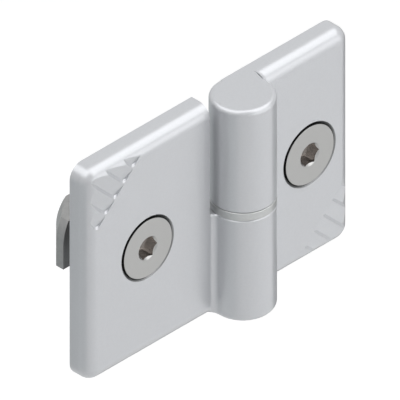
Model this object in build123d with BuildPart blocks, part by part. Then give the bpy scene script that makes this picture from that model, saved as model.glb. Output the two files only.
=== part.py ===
from build123d import *
import os
from math import asin, degrees, radians, tan

os.makedirs("parts", exist_ok=True)

# Lift-off hinge for slotted profile frames, in millimetres.
# The origin lies on the mounting plane, straight behind the pin, at mid height.
# +X points to the leaf that lifts off, -Y to the front, +Z up along the pin.

# Leaves
hinge_height = 45.0
leaf_thickness = 4.5
fixed_leaf_reach = 37.3
swing_leaf_reach = 27.8
leaf_corner_radius = 2.9
front_edge_radius = 2.5

# Knuckles
barrel_radius = 6.0
barrel_back_trim = 0.5
web_radius = 1.1
web_foot_margin = 0.05
barrel_end_radius = 1.0
barrel_end_sweep = 270.0
end_fade_length = 3.4
end_fade_overcut = 0.05
knuckle_edge_break = 0.25

# Pin, washer and bearing bush
pin_radius = 3.0
pin_seat_depth = 16.0
pin_reach = 17.4
pin_tip_chamfer = 0.8
pin_foot_chamfer = 0.4
washer_height = 1.6
washer_edge_break = 0.1
running_clearance = 0.05
bush_wall = 0.75
bush_length = 15.5
bush_chamfer = 0.2
blind_end_gap = 1.2

# Fixing screws, M6 countersunk with a hexagon socket
fixed_screw_distance = 22.5
swing_screw_distance = 17.5
screw_radius = 3.0
screw_length = 16.0
screw_tip_chamfer = 0.7
head_radius = 6.05
head_proud = 0.1
socket_sides = 6
socket_across_flats = 4.0
socket_lead_in_radius = 2.36
socket_depth = 2.6
clearance_hole_radius = 3.3
countersink_radius = 6.5
countersink_angle = 90.0

# Hammer nuts for a 10 mm slot
nut_half_length = 10.15
nut_width = 9.8
nut_setback = 6.2
nut_neck_length = 4.0
nut_flank_height = 1.8
nut_head_height = 5.7
nut_flank_angle = 45.0
nut_edge_break = 0.3

# Locating lugs that keep each leaf square in its slot
lug_width = 9.8
lug_length = 9.0
lug_height = 1.8
lug_distance = 14.0
lug_corner_break = 0.8
lug_edge_chamfer = 0.4

# Corner ornament, ramps side by side like the teeth of a saw
ramp_count = 5
ramp_pitch = 3.18
ramp_depth = 0.45
ramp_wall_width = 0.55
ramp_end_radius = 0.6
ramp_run = 10.5
ramp_shift = -0.54

# Room for rounding when an edge is picked by its place
tiny = 0.01

# Sizes that follow from the ones above
half_height = hinge_height / 2
axis_depth = barrel_radius - barrel_back_trim
washer_top = washer_height / 2
leaf_end = barrel_radius + web_radius + web_foot_margin
web_round_depth = leaf_thickness + web_radius - axis_depth
web_angle = degrees(asin(web_round_depth / (barrel_radius + web_radius)))
bush_bore_radius = pin_radius + running_clearance
bush_radius = bush_bore_radius + bush_wall
bearing_radius = bush_radius + running_clearance
blind_bore_depth = pin_reach + blind_end_gap
head_face = -leaf_thickness - head_proud
nut_neck_front = nut_setback - nut_neck_length
nut_back = nut_setback + nut_head_height
nut_flank_run = (nut_head_height - nut_flank_height) / tan(radians(nut_flank_angle))
nut_back_half_length = nut_half_length - nut_flank_run

FRONT = Plane.XZ.offset(leaf_thickness)


def make_ramp_cut():
    """What one ramp takes out: its floor sinks across to a slanted wall, and it runs along Z.

    The corner between the wall and the inner end is rounded.
    """
    low_side = -ramp_pitch / 2
    high_side = ramp_pitch / 2
    wall_overrun = ramp_wall_width * leaf_thickness / ramp_depth
    with BuildPart() as ramp:
        with BuildSketch():
            with BuildLine():
                Polyline(
                    (low_side, leaf_thickness),
                    (low_side, 0),
                    (high_side - ramp_wall_width, -ramp_depth),
                    (high_side + wall_overrun, leaf_thickness),
                    close=True,
                )
            make_face()
        extrude(amount=ramp_run)
        inner_end = ramp.faces().sort_by(Axis.Z)[0]
        fillet(inner_end.edges().sort_by(Axis.X)[-1], ramp_end_radius)
    return ramp.part


def barrel_end_profile(outer_margin):
    """The corner that comes off the barrel's end edge, outside a quarter circle."""
    round_centre = (barrel_radius - barrel_end_radius, half_height - barrel_end_radius)
    outside = barrel_radius + outer_margin
    above = half_height + barrel_end_radius
    with BuildSketch(Plane.XZ.offset(axis_depth)) as corner:
        with BuildLine():
            CenterArc(round_centre, barrel_end_radius, 0, 90)
            Polyline(
                (round_centre[0], half_height),
                (round_centre[0], above),
                (outside, above),
                (outside, round_centre[1]),
                (barrel_radius, round_centre[1]),
            )
        make_face()
    return corner.sketch


def make_barrel_end_cut():
    """The rounding of the barrel's end edge, from the back round the front to the web.

    It fades out from where the web leaves the barrel, at web_angle in front of the pin's axis.
    """
    fade_radius = (end_fade_length**2 + barrel_end_radius**2) / (2 * barrel_end_radius)
    fade_axis_height = half_height - barrel_end_radius + fade_radius
    with BuildPart() as end_cut:
        add(barrel_end_profile(barrel_end_radius))
        revolve(axis=Axis((0, -axis_depth, 0), (0, 0, -1)), revolution_arc=barrel_end_sweep)
        add(barrel_end_profile(end_fade_overcut))
        revolve(
            axis=Axis((0, -axis_depth, fade_axis_height), (1, 0, 0)),
            revolution_arc=degrees(asin(end_fade_length / fade_radius)),
        )
    return end_cut.part.rotate(Axis((0, -axis_depth, 0), (0, 0, 1)), -web_angle)


def make_leaf(reach, screw_distance, bore_radius, bore_depth):
    """A leaf with its plate to +X and its knuckle above the washer, bored from below."""
    end_cut = make_barrel_end_cut()
    ramp_cut = make_ramp_cut()
    with BuildPart() as leaf:
        # plate, rounded all along its outer front edges
        with BuildSketch(Plane.XZ) as outline:
            with Locations((reach / 2, 0)):
                Rectangle(reach, hinge_height)
            fillet(outline.vertices().group_by(Axis.X)[-1], leaf_corner_radius)
        extrude(amount=leaf_thickness)
        front_face = leaf.faces().sort_by(Axis.Y)[0]
        fillet(front_face.edges().sort_by(Axis.X)[1:], front_edge_radius)

        # knuckle, cut off at the mounting plane; it is made too tall, so that the web has
        # a wall to run out on, and then trimmed
        with BuildSketch(Plane.XY.offset(washer_top)):
            with Locations((0, -axis_depth)):
                Circle(barrel_radius)
            with Locations((0, barrel_radius)):
                Rectangle(4 * barrel_radius, 2 * barrel_radius, mode=Mode.SUBTRACT)
        extrude(amount=hinge_height)
        web_root = leaf.edges().filter_by(
            lambda edge: 0 < edge.center().X < barrel_radius
            and -leaf_thickness - tiny < edge.center().Y < -tiny
            and washer_top + tiny < edge.center().Z < half_height + tiny
            and edge.bounding_box().max.X < barrel_radius
        )
        fillet(web_root, web_radius)
        split(bisect_by=Plane.XY.offset(half_height), keep=Keep.BOTTOM)
        add(end_cut, mode=Mode.SUBTRACT)

        # room for the other knuckle and the washer
        with BuildSketch(Plane.XZ):
            with Locations((0, washer_top)):
                Rectangle(leaf_end, hinge_height, align=(Align.MIN, Align.MAX))
        extrude(amount=leaf_thickness, mode=Mode.SUBTRACT)

        # rim that meets the washer
        inner_rim = leaf.edges().filter_by(
            lambda edge: abs(edge.center().Z - washer_top) < tiny
            and edge.center().Y < -leaf_thickness
            and edge.geom_type != GeomType.LINE
        )
        chamfer(inner_rim, knuckle_edge_break)

        # pin bore from the washer side
        with BuildSketch(Plane.XY.offset(washer_top)):
            with Locations((0, -axis_depth)):
                Circle(bore_radius)
        extrude(amount=bore_depth, mode=Mode.SUBTRACT)

        # lugs on the back, above and below the screw
        with BuildSketch(Plane.XZ) as lugs:
            with Locations((screw_distance, lug_distance), (screw_distance, -lug_distance)):
                Rectangle(lug_width, lug_length)
            chamfer(lugs.vertices(), lug_corner_break)
        extrude(amount=-lug_height)
        chamfer(leaf.faces().sort_by(Axis.Y)[-2:].edges(), lug_edge_chamfer)

        # screw hole
        with Locations(Plane(FRONT.location * Pos(screw_distance, 0, 0))):
            CounterSinkHole(
                clearance_hole_radius,
                countersink_radius,
                depth=leaf_thickness,
                counter_sink_angle=countersink_angle,
            )

        # ramps, from a line across the corner away from the knuckle out to the corner itself
        corner = Vector(reach, -leaf_thickness, -half_height)
        to_corner = Vector(1, 0, -1).normalized()
        across = Vector(1, 0, 1).normalized()
        ramp_start = corner - to_corner * ramp_run + across * ramp_shift
        with Locations(Plane(ramp_start, x_dir=across, z_dir=to_corner)):
            for step in range(ramp_count):
                with Locations(((step - (ramp_count - 1) / 2) * ramp_pitch, 0)):
                    add(ramp_cut, mode=Mode.SUBTRACT)
    return leaf.part


def make_screw(distance):
    """A countersunk socket screw, head to the front, on the line x = distance."""
    line = Axis((distance, 0, 0), (0, 1, 0))
    rim_depth = countersink_radius - head_radius + head_proud
    cone_end = head_face + rim_depth + head_radius - screw_radius
    tip = head_face + screw_length
    with BuildPart() as screw:
        with BuildSketch(Plane.XY.move(Pos(distance, 0, 0))):
            with BuildLine():
                Polyline(
                    (0, head_face),
                    (head_radius, head_face),
                    (head_radius, head_face + rim_depth),
                    (screw_radius, cone_end),
                    (screw_radius, tip - screw_tip_chamfer),
                    (screw_radius - screw_tip_chamfer, tip),
                    (0, tip),
                    close=True,
                )
            make_face()
        revolve(axis=line)
        with BuildSketch(Plane.XZ.offset(-head_face).move(Pos(distance, 0, 0))):
            RegularPolygon(socket_across_flats / 2, socket_sides, major_radius=False)
        extrude(amount=-socket_depth, mode=Mode.SUBTRACT)
        with BuildSketch(Plane.XY.move(Pos(distance, 0, 0))):
            with BuildLine():
                Polyline(
                    (0, head_face),
                    (socket_lead_in_radius, head_face),
                    (0, head_face + socket_lead_in_radius),
                    close=True,
                )
            make_face()
        revolve(axis=line, mode=Mode.SUBTRACT)
    return screw.part


def make_nut(distance):
    """A hammer nut on the line x = distance, its neck towards the leaf.

    Two opposite corners are round and two are square, so that it turns a quarter and stops.
    """
    line = Axis((distance, 0, 0), (0, 1, 0))
    half_width = nut_width / 2
    with BuildPart() as nut:
        # head, turned and cut to the slot's width, with a square corner on each wing
        with BuildSketch(Plane.XY.move(Pos(distance, 0, 0))) as wing:
            with BuildLine():
                Polyline(
                    (0, nut_setback),
                    (nut_half_length, nut_setback),
                    (nut_half_length, nut_setback + nut_flank_height),
                    (nut_back_half_length, nut_back),
                    (0, nut_back),
                    close=True,
                )
            make_face()
        revolve(axis=line)
        with BuildSketch(Plane.XZ.move(Pos(distance, 0, 0))):
            Rectangle(2 * nut_half_length, nut_width)
        extrude(amount=-nut_back, mode=Mode.INTERSECT)
        square_corner = extrude(wing.sketch, amount=half_width, mode=Mode.PRIVATE)
        add(square_corner)
        add(square_corner.rotate(line, 180))

        # neck
        with BuildSketch(Plane.XZ.offset(-nut_neck_front).move(Pos(distance, 0, 0))):
            Circle(half_width)
            with Locations((half_width / 2, half_width / 2), (-half_width / 2, -half_width / 2)):
                Rectangle(half_width, half_width)
        extrude(amount=-nut_neck_length)
        neck_face = nut.faces().sort_by(Axis.Y)[0]
        chamfer(neck_face.edges(), nut_edge_break)

        # bore for the screw
        with BuildSketch(Plane.XZ.offset(-nut_neck_front).move(Pos(distance, 0, 0))):
            Circle(screw_radius)
        extrude(amount=-(nut_back - nut_neck_front), mode=Mode.SUBTRACT)
    return nut.part


# The leaf that stays on the frame stands head down against the other one
with BuildPart() as fixed_leaf:
    add(
        make_leaf(fixed_leaf_reach, fixed_screw_distance, pin_radius, pin_seat_depth),
        rotation=(0, 180, 0),
    )
fixed_leaf.part.label = "fixed_leaf"

with BuildPart() as swing_leaf:
    add(make_leaf(swing_leaf_reach, swing_screw_distance, bearing_radius, blind_bore_depth))
swing_leaf.part.label = "swing_leaf"

# Pin, pressed into the lower knuckle
with BuildPart() as hinge_pin:
    with BuildSketch(Plane.XY.offset(-washer_top - pin_seat_depth)):
        with Locations((0, -axis_depth)):
            Circle(pin_radius)
    extrude(amount=pin_seat_depth + washer_height + pin_reach)
    chamfer(hinge_pin.faces().sort_by(Axis.Z)[-1].edges(), pin_tip_chamfer)
    chamfer(hinge_pin.faces().sort_by(Axis.Z)[0].edges(), pin_foot_chamfer)
hinge_pin.part.label = "hinge_pin"

# Washer between the knuckles
with BuildPart() as thrust_washer:
    with BuildSketch(Plane.XY.offset(-washer_top)):
        with Locations((0, -axis_depth)):
            Circle(barrel_radius)
            Circle(bush_bore_radius, mode=Mode.SUBTRACT)
    extrude(amount=washer_height)
    outer_edges = thrust_washer.edges().filter_by(GeomType.CIRCLE).sort_by(SortBy.LENGTH)[-2:]
    chamfer(outer_edges, washer_edge_break)
thrust_washer.part.label = "thrust_washer"

# Bearing bush on the pin, inside the upper knuckle
with BuildPart() as bearing_bush:
    with BuildSketch(Plane.XY.offset(washer_top)):
        with Locations((0, -axis_depth)):
            Circle(bush_radius)
            Circle(bush_bore_radius, mode=Mode.SUBTRACT)
    extrude(amount=bush_length)
    outer_edges = bearing_bush.edges().filter_by(GeomType.CIRCLE).sort_by(SortBy.LENGTH)[-2:]
    chamfer(outer_edges, bush_chamfer)
bearing_bush.part.label = "bearing_bush"

# Screws and hammer nuts
with BuildPart() as fixed_leaf_screw:
    add(make_screw(-fixed_screw_distance))
fixed_leaf_screw.part.label = "fixed_leaf_screw"

with BuildPart() as swing_leaf_screw:
    add(make_screw(swing_screw_distance))
swing_leaf_screw.part.label = "swing_leaf_screw"

with BuildPart() as fixed_leaf_nut:
    add(make_nut(-fixed_screw_distance))
fixed_leaf_nut.part.label = "fixed_leaf_nut"

with BuildPart() as swing_leaf_nut:
    add(make_nut(swing_screw_distance))
swing_leaf_nut.part.label = "swing_leaf_nut"

pieces = [
    fixed_leaf,
    swing_leaf,
    hinge_pin,
    thrust_washer,
    bearing_bush,
    fixed_leaf_screw,
    swing_leaf_screw,
    fixed_leaf_nut,
    swing_leaf_nut,
]
for piece in pieces:
    export_step(piece.part, f"parts/{piece.part.label}.step")
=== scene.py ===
import math

import bpy
import bmesh
from mathutils import Matrix, Vector


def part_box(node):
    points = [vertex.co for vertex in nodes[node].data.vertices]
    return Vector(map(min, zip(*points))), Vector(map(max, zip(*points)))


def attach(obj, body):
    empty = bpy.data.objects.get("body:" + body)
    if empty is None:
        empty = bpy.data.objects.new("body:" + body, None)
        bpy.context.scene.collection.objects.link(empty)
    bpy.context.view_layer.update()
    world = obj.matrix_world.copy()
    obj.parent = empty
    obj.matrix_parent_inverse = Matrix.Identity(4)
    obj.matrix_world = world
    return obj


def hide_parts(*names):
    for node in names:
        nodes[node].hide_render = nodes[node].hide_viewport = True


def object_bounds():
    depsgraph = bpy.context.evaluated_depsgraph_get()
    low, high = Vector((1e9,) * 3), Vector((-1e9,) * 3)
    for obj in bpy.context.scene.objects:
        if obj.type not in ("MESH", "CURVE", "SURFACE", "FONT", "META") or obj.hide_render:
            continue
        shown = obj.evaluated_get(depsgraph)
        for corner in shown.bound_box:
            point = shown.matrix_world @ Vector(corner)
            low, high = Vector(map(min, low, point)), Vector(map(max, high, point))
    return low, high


# Lift-off hinge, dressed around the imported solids. Lengths are in metres.
# +X points to the leaf that lifts off, -Y to the front, +Z up along the pin.

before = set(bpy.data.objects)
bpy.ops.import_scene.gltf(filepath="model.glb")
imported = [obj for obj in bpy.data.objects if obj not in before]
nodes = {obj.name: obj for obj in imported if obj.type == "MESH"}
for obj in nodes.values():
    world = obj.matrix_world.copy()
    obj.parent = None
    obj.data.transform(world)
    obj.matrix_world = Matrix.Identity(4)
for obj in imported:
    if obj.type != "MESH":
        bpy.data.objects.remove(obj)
bpy.context.view_layer.update()
cad_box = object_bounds()
MM = 0.001

# Camera: an isometric view from the front left and above, with no perspective
VIEW_WIDTH = 69.9 * MM
VIEW_DISTANCE = 0.6
NEAR_LIMIT = 0.01
FAR_LIMIT = 20.0
AIM_RIGHT = -7.48 * MM
AIM_UP = -0.37 * MM

# Lamps: two banks that hang level overhead, and a low softbox in front, each with its power in watts
KEY_BANK = {"place": (0.42, -0.45, 0.72), "width": 0.95, "depth": 1.10, "power": 5.55}
LEFT_BANK = {"place": (-0.52, 0.29, 0.72), "width": 0.90, "depth": 1.20, "power": 5.40}
FRONT_BOX = {"place": (0.14, -0.42, 0.05), "width": 0.60, "depth": 0.30, "power": 0.64}
SKY_STRENGTH = 0.12
BACKDROP_STRENGTH = 1.0

# Floor, well below the hinge
FLOOR_DROP = 110 * MM
FLOOR_SIZE = 6.0
FLOOR_GREY = 0.7
FLOOR_ROUGHNESS = 0.9
FLOOR_GLOW = 0.5

# Grey screens round the hinge, from the floor up, and one that lies on the floor
SCREEN_BEHIND = 0.085
SCREEN_RIGHT = 0.14
SCREEN_LEFT = -0.15
SCREEN_RIGHT_FRONT = -0.05
SCREEN_LEFT_FRONT = -0.09
SCREEN_TOP = -0.01
SCREEN_GREY = 0.02
SCREEN_TINT = (0.95, 1.0, 1.01)
RIGHT_SCREEN_GLOW = 0.22
BACK_SCREEN_GLOW = 0.62
LEFT_SCREEN_GLOW = 0.75
FLOOR_CARD_LEFT = 0.035
FLOOR_CARD_FRONT = 0.012
FLOOR_CARD_LIFT = 1 * MM
FLOOR_CARD_GLOW = 0.15

# Countersunk socket screw
SCREW_X = {"fixed_leaf_screw": -22.5 * MM, "swing_leaf_screw": 17.5 * MM}
SCREW_BODY = {"fixed_leaf_screw": "frame_side", "swing_leaf_screw": "door_side"}
HEAD_FACE_Y = -4.6 * MM
COUNTERSINK_RADIUS = 6.48 * MM
HEAD_RADIUS = 6.05 * MM
HEAD_RIM_DEPTH = 0.55 * MM
HEAD_EDGE_BREAK = 0.15 * MM
HEAD_FACE_RADIUS = 5.86 * MM
HEAD_LIGHT_EDGE = 0.04 * MM
SOCKET_APOTHEM = 2.0 * MM
SOCKET_LEAD_IN_RADIUS = 2.36 * MM
SOCKET_DEPTH = 2.6 * MM
SOCKET_DRILL_RADIUS = 1.7 * MM
SOCKET_DRILL_DEPTH = 3.0 * MM
SCREW_RADIUS = 3.0 * MM
SCREW_LENGTH = 16.0 * MM
THREAD_PITCH = 1.0 * MM
THREAD_ROOT = 2.46 * MM
THREAD_HEIGHT = 0.5 * MM
THREAD_TIP_GAP = 0.9 * MM
TIP_RADIUS = 1.95 * MM
TIP_CHAMFER = 0.5 * MM
THREAD_STEPS = 32
RIDGE_CORNERS = 4
STEPS_AROUND = 96
SMOOTH_ANGLE = math.radians(28)
HEX_SECTOR = math.radians(60)

# Order of a screw's finishes
# The third finish is painted shade: black on the head's rim and underside, for the shadow in the gap
# round the head
FACE, SOCKET, RIM_PAINTED_SHADE, SHANK = range(4)

# Powder coat: metal flakes and a faint orange peel, and a darker grey in the screw hole that paints the
# shade in the gap round the screw head
COAT_METALLIC = 0.35
COAT_ROUGHNESS = 0.30
COAT_ROUGHNESS_SPREAD = 0.015
COAT_DARK = (0.582, 0.594, 0.616)
COAT_LIGHT = (0.598, 0.610, 0.632)
HOLE_SHADE_DARK = (0.27, 0.275, 0.28)
HOLE_SHADE_LIGHT = (0.31, 0.315, 0.32)
FLAKE_SCALE = 2600
FLAKE_DETAIL = 2
PEEL_SCALE = 1100
PEEL_DETAIL = 1
PEEL_STRENGTH = 0.04
PEEL_HEIGHT = 0.02 * MM

# Turned screw face: fine rings round the axis
TURNED_COLOUR = (0.38, 0.38, 0.375)
TURNED_ROUGHNESS = 0.33
TURNED_DARKENING = 0.97
RING_SCALE = 1300
RING_DETAIL = 2
RING_WANDER = 0.6
RING_STRENGTH = 0.15
RING_HEIGHT = 0.01 * MM

# Plated, ground, pressed and rolled metal: tones, gloss, and how fine and deep the unevenness is
METAL_HEIGHT = 0.02 * MM
SMOOTHER = 0.03
ROUGHER = 0.04
METALS = {
    "nut_zinc": {
        "metallic": 1.0, "roughness": 0.42, "grain": 900, "depth": 0.2,
        "dark": (0.28, 0.28, 0.28), "light": (0.33, 0.33, 0.325),
    },
    "pin_ground": {
        "metallic": 1.0, "roughness": 0.22, "grain": 2400, "depth": 0.1,
        "dark": (0.52, 0.52, 0.51), "light": (0.56, 0.56, 0.55),
    },
    "washer_satin": {
        "metallic": 0.6, "roughness": 0.38, "grain": 1600, "depth": 0.1,
        "dark": (0.47, 0.48, 0.48), "light": (0.51, 0.52, 0.52),
    },
    "socket_pressed": {
        "metallic": 1.0, "roughness": 0.16, "grain": 1500, "depth": 0.1,
        "dark": (0.42, 0.40, 0.385), "light": (0.47, 0.45, 0.435),
    },
    "shank_rolled": {
        "metallic": 1.0, "roughness": 0.34, "grain": 1500, "depth": 0.15,
        "dark": (0.42, 0.42, 0.41), "light": (0.47, 0.47, 0.46),
    },
}

# Painted shade on the screw's rim and under its head, black for the shadow in the gap round the head;
# and the dark plastic of the bush
RIM_PAINTED_SHADE_ROUGHNESS = 0.6
RIM_PAINTED_SHADE_GLOSS = 0.08
RIM_PAINTED_SHADE_GRAIN = 1800
RIM_PAINTED_SHADE_DARK = (0.003, 0.003, 0.003)
RIM_PAINTED_SHADE_LIGHT = (0.008, 0.008, 0.008)
BUSH_GRAIN = 2200
BUSH_DARK = (0.014, 0.014, 0.016)
BUSH_LIGHT = (0.024, 0.024, 0.026)
BUSH_SMOOTHEST = 0.4
BUSH_ROUGHEST = 0.52
BUSH_STRENGTH = 0.2
BUSH_HEIGHT = 0.02 * MM
GRAIN_DETAIL = 3
METAL_DETAIL = 4

# Where a pattern's dark tone ends and its light tone begins
DARK_UP_TO = 0.3
LIGHT_FROM = 0.7


def setup_view():
    """Isometric camera on the middle of the pin, a little to its left."""
    towards_camera = Vector((-1, -1, 1)).normalized()
    right = Vector((1, -1, 0)).normalized()
    up = towards_camera.cross(right)
    pin_low, pin_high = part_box("thrust_washer")
    aim = (pin_low + pin_high) / 2 + AIM_RIGHT * right + AIM_UP * up
    camera_data = bpy.data.cameras.new("camera")
    camera_data.type = "ORTHO"
    camera_data.ortho_scale = VIEW_WIDTH
    camera_data.clip_start = NEAR_LIMIT
    camera_data.clip_end = FAR_LIMIT
    camera = bpy.data.objects.new("camera", camera_data)
    camera.location = aim + VIEW_DISTANCE * towards_camera
    camera.rotation_mode = "QUATERNION"
    camera.rotation_quaternion = (-towards_camera).to_track_quat("-Z", "Y")
    bpy.context.scene.collection.objects.link(camera)
    bpy.context.scene.camera = camera
    bpy.context.scene.view_settings.view_transform = "Standard"


def add_lamp(name, place, width, depth, power, aim):
    """A rectangular lamp that shines in the direction of aim."""
    lamp_data = bpy.data.lights.new(name, "AREA")
    lamp_data.shape = "RECTANGLE"
    lamp_data.size = width
    lamp_data.size_y = depth
    lamp_data.energy = power
    lamp = bpy.data.objects.new(name, lamp_data)
    lamp.location = place
    lamp.rotation_mode = "QUATERNION"
    lamp.rotation_quaternion = aim.to_track_quat("-Z", "Y")
    lamp.visible_camera = False
    bpy.context.scene.collection.objects.link(lamp)
    return lamp


def background_rays(tree):
    """1 for rays that look at the backdrop: from the camera, from gloss and through glass."""
    rays = tree.nodes.new("ShaderNodeLightPath")
    first = tree.nodes.new("ShaderNodeMath")
    first.operation = "MAXIMUM"
    tree.links.new(rays.outputs["Is Camera Ray"], first.inputs[0])
    tree.links.new(rays.outputs["Is Glossy Ray"], first.inputs[1])
    second = tree.nodes.new("ShaderNodeMath")
    second.operation = "MAXIMUM"
    tree.links.new(first.outputs["Value"], second.inputs[0])
    tree.links.new(rays.outputs["Is Transmission Ray"], second.inputs[1])
    return second.outputs["Value"]


def setup_lamps():
    down = Vector((0, 0, -1))
    add_lamp("key_bank", **KEY_BANK, aim=down)
    add_lamp("left_bank", **LEFT_BANK, aim=down)
    add_lamp("front_box", **FRONT_BOX, aim=-Vector(FRONT_BOX["place"]))
    world = bpy.data.worlds.new("studio")
    bpy.context.scene.world = world
    world.use_nodes = True
    tree = world.node_tree
    tree.nodes.clear()
    out = tree.nodes.new("ShaderNodeOutputWorld")
    studio = tree.nodes.new("ShaderNodeBackground")
    studio.inputs["Color"].default_value = (1, 1, 1, 1)
    studio.inputs["Strength"].default_value = SKY_STRENGTH
    backdrop = tree.nodes.new("ShaderNodeBackground")
    backdrop.inputs["Color"].default_value = (1, 1, 1, 1)
    backdrop.inputs["Strength"].default_value = BACKDROP_STRENGTH
    choose = tree.nodes.new("ShaderNodeMixShader")
    tree.links.new(background_rays(tree), choose.inputs["Fac"])
    tree.links.new(studio.outputs["Background"], choose.inputs[1])
    tree.links.new(backdrop.outputs["Background"], choose.inputs[2])
    tree.links.new(choose.outputs["Shader"], out.inputs["Surface"])


def add_card(name, corners, material):
    mesh = bpy.data.meshes.new(name)
    mesh.from_pydata(corners, [], [(0, 1, 2, 3)])
    mesh.materials.append(material)
    card = bpy.data.objects.new(name, mesh)
    bpy.context.scene.collection.objects.link(card)
    return card


def setup_stage():
    """A pale floor, and grey screens that only the gloss of the hinge shows."""
    half = FLOOR_SIZE / 2
    level = cad_box[0].z - FLOOR_DROP
    paper = bpy.data.materials.new("floor_paper")
    paper.use_nodes = True
    tree = paper.node_tree
    shader = tree.nodes["Principled BSDF"]
    shader.inputs["Base Color"].default_value = (FLOOR_GREY, FLOOR_GREY, FLOOR_GREY, 1)
    shader.inputs["Roughness"].default_value = FLOOR_ROUGHNESS
    shader.inputs["Emission Color"].default_value = (1, 1, 1, 1)
    glow = tree.nodes.new("ShaderNodeMath")
    glow.operation = "MULTIPLY"
    glow.inputs[1].default_value = FLOOR_GLOW
    tree.links.new(background_rays(tree), glow.inputs[0])
    tree.links.new(glow.outputs["Value"], shader.inputs["Emission Strength"])
    floor = add_card(
        "floor",
        [(-half, -half, level), (half, -half, level), (half, half, level), (-half, half, level)],
        paper,
    )

    right_end = (SCREEN_RIGHT, SCREEN_RIGHT_FRONT)
    right_corner = (SCREEN_RIGHT, SCREEN_BEHIND)
    left_corner = (SCREEN_LEFT, SCREEN_BEHIND)
    left_end = (SCREEN_LEFT, SCREEN_LEFT_FRONT)
    for name, start, end, strength in (
        ("right_screen", right_end, right_corner, RIGHT_SCREEN_GLOW),
        ("back_screen", right_corner, left_corner, BACK_SCREEN_GLOW),
        ("left_screen", left_corner, left_end, LEFT_SCREEN_GLOW),
    ):
        corners = [(*start, level), (*end, level), (*end, SCREEN_TOP), (*start, SCREEN_TOP)]
        add_screen(name, corners, strength)
    low = level + FLOOR_CARD_LIFT
    floor_card = [
        (FLOOR_CARD_LEFT, FLOOR_CARD_FRONT, low),
        (SCREEN_RIGHT, FLOOR_CARD_FRONT, low),
        (*right_corner, low),
        (FLOOR_CARD_LEFT, SCREEN_BEHIND, low),
    ]
    add_screen("floor_screen", floor_card, FLOOR_CARD_GLOW)


def add_screen(name, corners, strength):
    """A card that glows grey and is seen only in gloss."""
    cloth = bpy.data.materials.new(name + "_cloth")
    cloth.use_nodes = True
    shader = cloth.node_tree.nodes["Principled BSDF"]
    shader.inputs["Base Color"].default_value = (SCREEN_GREY, SCREEN_GREY, SCREEN_GREY, 1)
    shader.inputs["Roughness"].default_value = 1.0
    shader.inputs["Emission Color"].default_value = (*SCREEN_TINT, 1)
    shader.inputs["Emission Strength"].default_value = strength
    screen = add_card(name, corners, cloth)
    screen.visible_camera = False
    screen.visible_diffuse = False
    screen.visible_shadow = False
    screen.visible_transmission = False


def new_material(name, metallic, roughness):
    """A Principled material with its plain numbers set, and Object coordinates to draw with."""
    material = bpy.data.materials.new(name)
    material.use_nodes = True
    tree = material.node_tree
    shader = tree.nodes["Principled BSDF"]
    shader.inputs["Metallic"].default_value = metallic
    shader.inputs["Roughness"].default_value = roughness
    place = tree.nodes.new("ShaderNodeTexCoord")
    return material, tree, shader, place.outputs["Object"]


def add_noise(tree, place, scale, detail):
    noise = tree.nodes.new("ShaderNodeTexNoise")
    noise.inputs["Scale"].default_value = scale
    noise.inputs["Detail"].default_value = detail
    tree.links.new(place, noise.inputs["Vector"])
    return noise.outputs["Fac"]


def colour_between(tree, pattern, dark, light):
    """A colour that goes from the dark tone to the light one with the pattern."""
    ramp = tree.nodes.new("ShaderNodeValToRGB")
    ramp.color_ramp.elements[0].position = DARK_UP_TO
    ramp.color_ramp.elements[0].color = (*dark, 1)
    ramp.color_ramp.elements[1].position = LIGHT_FROM
    ramp.color_ramp.elements[1].color = (*light, 1)
    tree.links.new(pattern, ramp.inputs["Fac"])
    return ramp.outputs["Color"]


def vary_colour(tree, shader, pattern, dark, light):
    tree.links.new(colour_between(tree, pattern, dark, light), shader.inputs["Base Color"])


def vary_roughness(tree, shader, pattern, low, high):
    spread = tree.nodes.new("ShaderNodeMapRange")
    spread.inputs["To Min"].default_value = low
    spread.inputs["To Max"].default_value = high
    tree.links.new(pattern, spread.inputs["Value"])
    tree.links.new(spread.outputs["Result"], shader.inputs["Roughness"])


def add_bump(tree, shader, pattern, strength, height):
    bump = tree.nodes.new("ShaderNodeBump")
    bump.inputs["Strength"].default_value = strength
    bump.inputs["Distance"].default_value = height
    tree.links.new(pattern, bump.inputs["Height"])
    tree.links.new(bump.outputs["Normal"], shader.inputs["Normal"])


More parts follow.
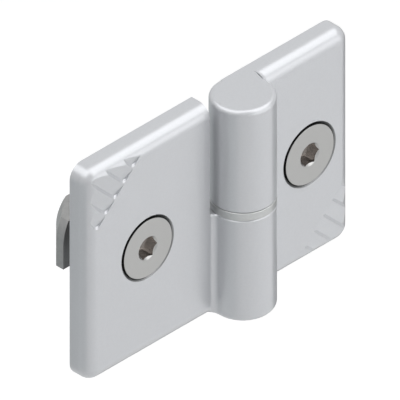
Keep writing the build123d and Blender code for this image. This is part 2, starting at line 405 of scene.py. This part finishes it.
def coat_material(name, screw_x):
    """Light grey powder coat with a faint orange peel, painted darker in the screw hole for the shade in
    the gap round the head.
    """
    material, tree, shader, place = new_material(name, COAT_METALLIC, COAT_ROUGHNESS)
    flakes = add_noise(tree, place, FLAKE_SCALE, FLAKE_DETAIL)
    coat_colour = colour_between(tree, flakes, COAT_DARK, COAT_LIGHT)
    # Darker grey for the screw hole: painted shade in the gap round the screw head
    hole_shade_colour = colour_between(tree, flakes, HOLE_SHADE_DARK, HOLE_SHADE_LIGHT)
    flat = tree.nodes.new("ShaderNodeMapping")
    flat.inputs["Location"].default_value = (-screw_x, 0, 0)
    flat.inputs["Scale"].default_value = (1, 0, 1)
    tree.links.new(place, flat.inputs["Vector"])
    reach = tree.nodes.new("ShaderNodeVectorMath")
    reach.operation = "LENGTH"
    tree.links.new(flat.outputs["Vector"], reach.inputs[0])
    # Mask for the painted shade: everything within the countersink's radius of the screw's axis
    in_shaded_hole = tree.nodes.new("ShaderNodeMath")
    in_shaded_hole.operation = "LESS_THAN"
    in_shaded_hole.inputs[1].default_value = COUNTERSINK_RADIUS
    tree.links.new(reach.outputs["Value"], in_shaded_hole.inputs[0])
    choose = tree.nodes.new("ShaderNodeMix")
    choose.data_type = "RGBA"
    tree.links.new(in_shaded_hole.outputs["Value"], choose.inputs["Factor"])
    tree.links.new(coat_colour, choose.inputs["A"])
    tree.links.new(hole_shade_colour, choose.inputs["B"])
    tree.links.new(choose.outputs["Result"], shader.inputs["Base Color"])
    peel = add_noise(tree, place, PEEL_SCALE, PEEL_DETAIL)
    smoothest = COAT_ROUGHNESS - COAT_ROUGHNESS_SPREAD
    roughest = COAT_ROUGHNESS + COAT_ROUGHNESS_SPREAD
    vary_roughness(tree, shader, peel, smoothest, roughest)
    add_bump(tree, shader, peel, PEEL_STRENGTH, PEEL_HEIGHT)
    return material


def turned_material(name, centre_x):
    """Turned stainless steel: fine rings round the screw's axis."""
    material, tree, shader, place = new_material(name, 1.0, TURNED_ROUGHNESS)
    centre = tree.nodes.new("ShaderNodeMapping")
    centre.inputs["Location"].default_value = (-centre_x, 0, 0)
    tree.links.new(place, centre.inputs["Vector"])
    rings = tree.nodes.new("ShaderNodeTexWave")
    rings.wave_type = "RINGS"
    rings.rings_direction = "Y"
    rings.inputs["Scale"].default_value = RING_SCALE
    rings.inputs["Distortion"].default_value = RING_WANDER
    rings.inputs["Detail"].default_value = RING_DETAIL
    tree.links.new(centre.outputs["Vector"], rings.inputs["Vector"])
    pattern = rings.outputs["Fac"]
    dark = [TURNED_DARKENING * tone for tone in TURNED_COLOUR]
    vary_colour(tree, shader, pattern, dark, TURNED_COLOUR)
    vary_roughness(tree, shader, pattern, TURNED_ROUGHNESS - SMOOTHER, TURNED_ROUGHNESS + ROUGHER)
    add_bump(tree, shader, pattern, RING_STRENGTH, RING_HEIGHT)
    return material


def mottled_metal(name):
    """Metal with a fine uneven surface, as plating, pressing or grinding leaves it."""
    metal = METALS[name]
    roughness = metal["roughness"]
    material, tree, shader, place = new_material(name, metal["metallic"], roughness)
    patches = add_noise(tree, place, metal["grain"], METAL_DETAIL)
    vary_colour(tree, shader, patches, metal["dark"], metal["light"])
    vary_roughness(tree, shader, patches, roughness - SMOOTHER, roughness + ROUGHER)
    add_bump(tree, shader, patches, metal["depth"], METAL_HEIGHT)
    return material


def painted_rim_shade_material():
    """Painted shade: black on the rim and the underside of a screw head, standing for the shadow in the
    gap round the head.
    """
    material, tree, shader, place = new_material("screw_rim_painted_shade", 0.0, RIM_PAINTED_SHADE_ROUGHNESS)
    shader.inputs["Specular IOR Level"].default_value = RIM_PAINTED_SHADE_GLOSS
    patches = add_noise(tree, place, RIM_PAINTED_SHADE_GRAIN, GRAIN_DETAIL)
    vary_colour(tree, shader, patches, RIM_PAINTED_SHADE_DARK, RIM_PAINTED_SHADE_LIGHT)
    return material


def bush_material():
    """Dark bearing plastic with fine moulding grain."""
    material, tree, shader, place = new_material("bush_plastic", 0.0, BUSH_SMOOTHEST)
    grain = add_noise(tree, place, BUSH_GRAIN, GRAIN_DETAIL)
    vary_colour(tree, shader, grain, BUSH_DARK, BUSH_LIGHT)
    vary_roughness(tree, shader, grain, BUSH_SMOOTHEST, BUSH_ROUGHEST)
    add_bump(tree, shader, grain, BUSH_STRENGTH, BUSH_HEIGHT)
    return material


def dress(name, material):
    node = nodes[name]
    node.data.materials.clear()
    node.data.materials.append(material)


THREAD_INPUTS = {
    "Pitch": "NodeSocketFloat",
    "Length": "NodeSocketFloat",
    "Root Radius": "NodeSocketFloat",
    "Ridge Height": "NodeSocketFloat",
    "Steps per Turn": "NodeSocketInt",
    "Finish": "NodeSocketMaterial",
}


def thread_tree():
    """Geometry Nodes: one ridge wound along a helix that rises along Z."""
    tree = bpy.data.node_groups.new("screw_thread", "GeometryNodeTree")
    for name, kind in THREAD_INPUTS.items():
        tree.interface.new_socket(name, in_out="INPUT", socket_type=kind)
    tree.interface.new_socket("Geometry", in_out="OUTPUT", socket_type="NodeSocketGeometry")
    given = tree.nodes.new("NodeGroupInput")
    turns = tree.nodes.new("ShaderNodeMath")
    turns.operation = "DIVIDE"
    tree.links.new(given.outputs["Length"], turns.inputs[0])
    tree.links.new(given.outputs["Pitch"], turns.inputs[1])
    helix = tree.nodes.new("GeometryNodeCurveSpiral")
    tree.links.new(given.outputs["Steps per Turn"], helix.inputs["Resolution"])
    tree.links.new(turns.outputs["Value"], helix.inputs["Rotations"])
    tree.links.new(given.outputs["Root Radius"], helix.inputs["Start Radius"])
    tree.links.new(given.outputs["Root Radius"], helix.inputs["End Radius"])
    tree.links.new(given.outputs["Length"], helix.inputs["Height"])
    upright = tree.nodes.new("GeometryNodeSetCurveNormal")
    upright.mode = "Z_UP"
    tree.links.new(helix.outputs["Curve"], upright.inputs["Curve"])
    ridge = tree.nodes.new("GeometryNodeCurvePrimitiveCircle")
    ridge.inputs["Resolution"].default_value = RIDGE_CORNERS
    tree.links.new(given.outputs["Ridge Height"], ridge.inputs["Radius"])
    wound = tree.nodes.new("GeometryNodeCurveToMesh")
    wound.inputs["Fill Caps"].default_value = True
    tree.links.new(upright.outputs["Curve"], wound.inputs["Curve"])
    tree.links.new(ridge.outputs["Curve"], wound.inputs["Profile Curve"])
    real = tree.nodes.new("GeometryNodeRealizeInstances")
    tree.links.new(wound.outputs["Mesh"], real.inputs["Geometry"])
    finish = tree.nodes.new("GeometryNodeSetMaterial")
    tree.links.new(real.outputs["Geometry"], finish.inputs["Geometry"])
    tree.links.new(given.outputs["Finish"], finish.inputs["Material"])
    result = tree.nodes.new("NodeGroupOutput")
    tree.links.new(finish.outputs["Geometry"], result.inputs["Geometry"])
    return tree


def make_thread(tree, length, finish):
    """The wound ridge as a plain mesh."""
    holder = bpy.data.objects.new("thread_winding", bpy.data.meshes.new("thread_winding"))
    bpy.context.scene.collection.objects.link(holder)
    winding = holder.modifiers.new("winding", "NODES")
    winding.node_group = tree
    values = {
        "Pitch": THREAD_PITCH,
        "Length": length,
        "Root Radius": THREAD_ROOT,
        "Ridge Height": THREAD_HEIGHT,
        "Steps per Turn": THREAD_STEPS,
        "Finish": finish,
    }
    for socket in tree.interface.items_tree:
        if socket.in_out == "INPUT":
            winding[socket.identifier] = values[socket.name]
    scene_state = bpy.context.evaluated_depsgraph_get()
    mesh = bpy.data.meshes.new_from_object(holder.evaluated_get(scene_state))
    holder.modifiers.remove(winding)
    bpy.data.objects.remove(holder)
    return mesh


def hex_radius(angle):
    """Distance from the socket's middle to its wall; corners lie on the X axis."""
    return SOCKET_APOTHEM / math.cos(angle % HEX_SECTOR - HEX_SECTOR / 2)


def screw_rings():
    """The screw's outline from the socket's bottom to its tip: radius, depth and finish of each ring."""
    cone_end = HEAD_RIM_DEPTH + HEAD_RADIUS - SCREW_RADIUS
    return [
        (lambda a: SOCKET_DRILL_RADIUS, lambda a: SOCKET_DEPTH, SOCKET),
        (hex_radius, lambda a: SOCKET_DEPTH, SOCKET),
        (hex_radius, lambda a: SOCKET_LEAD_IN_RADIUS - hex_radius(a), SOCKET),
        (lambda a: SOCKET_LEAD_IN_RADIUS, lambda a: 0.0, FACE),
        (lambda a: HEAD_FACE_RADIUS, lambda a: 0.0, FACE),
        (lambda a: HEAD_FACE_RADIUS + HEAD_LIGHT_EDGE, lambda a: HEAD_LIGHT_EDGE, FACE),
        # The rim and the underside take the black painted shade, for the shadow in the gap round the
        # head
        (lambda a: HEAD_RADIUS, lambda a: HEAD_EDGE_BREAK, RIM_PAINTED_SHADE),
        (lambda a: HEAD_RADIUS, lambda a: HEAD_RIM_DEPTH, RIM_PAINTED_SHADE),
        (lambda a: SCREW_RADIUS, lambda a: cone_end, RIM_PAINTED_SHADE),
        (lambda a: THREAD_ROOT, lambda a: cone_end + SCREW_RADIUS - THREAD_ROOT, SHANK),
        (lambda a: THREAD_ROOT, lambda a: SCREW_LENGTH - TIP_CHAMFER, SHANK),
        (lambda a: TIP_RADIUS, lambda a: SCREW_LENGTH, SHANK),
    ]


def make_screw(name, tree, socket_finish, rim_painted_shade, shank_finish):
    """A countersunk socket screw with its thread, in place of the plain one."""
    middle = SCREW_X[name]
    face_finish = turned_material(name + "_face", middle)
    shape = bmesh.new()

    def point(radius, depth, angle):
        return (middle + radius * math.cos(angle), HEAD_FACE_Y + depth, radius * math.sin(angle))

    angles = [math.tau * step / STEPS_AROUND for step in range(STEPS_AROUND)]
    bottom = shape.verts.new(point(0, SOCKET_DRILL_DEPTH, 0))
    previous = None
    for radius, depth, finish in screw_rings():
        ring = [shape.verts.new(point(radius(a), depth(a), a)) for a in angles]
        for step in range(STEPS_AROUND):
            after = (step + 1) % STEPS_AROUND
            if previous is None:
                side = shape.faces.new((bottom, ring[step], ring[after]))
            else:
                side = shape.faces.new((previous[step], ring[step], ring[after], previous[after]))
            side.material_index = finish
        previous = ring
    tip = shape.verts.new(point(0, SCREW_LENGTH, 0))
    for step in range(STEPS_AROUND):
        after = (step + 1) % STEPS_AROUND
        side = shape.faces.new((previous[step], tip, previous[after]))
        side.material_index = SHANK
    bmesh.ops.recalc_face_normals(shape, faces=shape.faces)

    thread_start = HEAD_RIM_DEPTH + HEAD_RADIUS - SCREW_RADIUS + THREAD_HEIGHT
    thread_length = SCREW_LENGTH - THREAD_TIP_GAP - thread_start
    thread = make_thread(tree, thread_length, shank_finish)
    lay_back = Matrix.Rotation(-math.pi / 2, 4, "X")
    thread.transform(Matrix.Translation((middle, HEAD_FACE_Y + thread_start, 0)) @ lay_back)
    plain_faces = len(shape.faces)
    shape.from_mesh(thread)
    shape.faces.ensure_lookup_table()
    thread_faces = shape.faces[plain_faces:]
    for side in thread_faces:
        side.material_index = SHANK
    bmesh.ops.recalc_face_normals(shape, faces=thread_faces)

    mesh = bpy.data.meshes.new(name + "_turned")
    shape.to_mesh(mesh)
    shape.free()
    for material in (face_finish, socket_finish, rim_painted_shade, shank_finish):
        mesh.materials.append(material)
    for side in mesh.polygons:
        side.use_smooth = True
    mesh.set_sharp_from_angle(angle=SMOOTH_ANGLE)
    screw = bpy.data.objects.new(name + "_turned", mesh)
    bpy.context.scene.collection.objects.link(screw)
    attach(screw, SCREW_BODY[name])
    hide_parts(name)
    return screw


setup_view()
setup_lamps()
setup_stage()

dress("fixed_leaf", coat_material("fixed_leaf_coat", SCREW_X["fixed_leaf_screw"]))
dress("swing_leaf", coat_material("swing_leaf_coat", SCREW_X["swing_leaf_screw"]))
zinc = mottled_metal("nut_zinc")
dress("fixed_leaf_nut", zinc)
dress("swing_leaf_nut", zinc)
dress("hinge_pin", mottled_metal("pin_ground"))
dress("thrust_washer", mottled_metal("washer_satin"))
dress("bearing_bush", bush_material())

thread_winding = thread_tree()
socket_finish = mottled_metal("socket_pressed")
shank_finish = mottled_metal("shank_rolled")
# Black painted shade for the rims and undersides of the screw heads
rim_painted_shade = painted_rim_shade_material()
for screw_name in SCREW_X:
    make_screw(screw_name, thread_winding, socket_finish, rim_painted_shade, shank_finish)

bpy.context.view_layer.update()
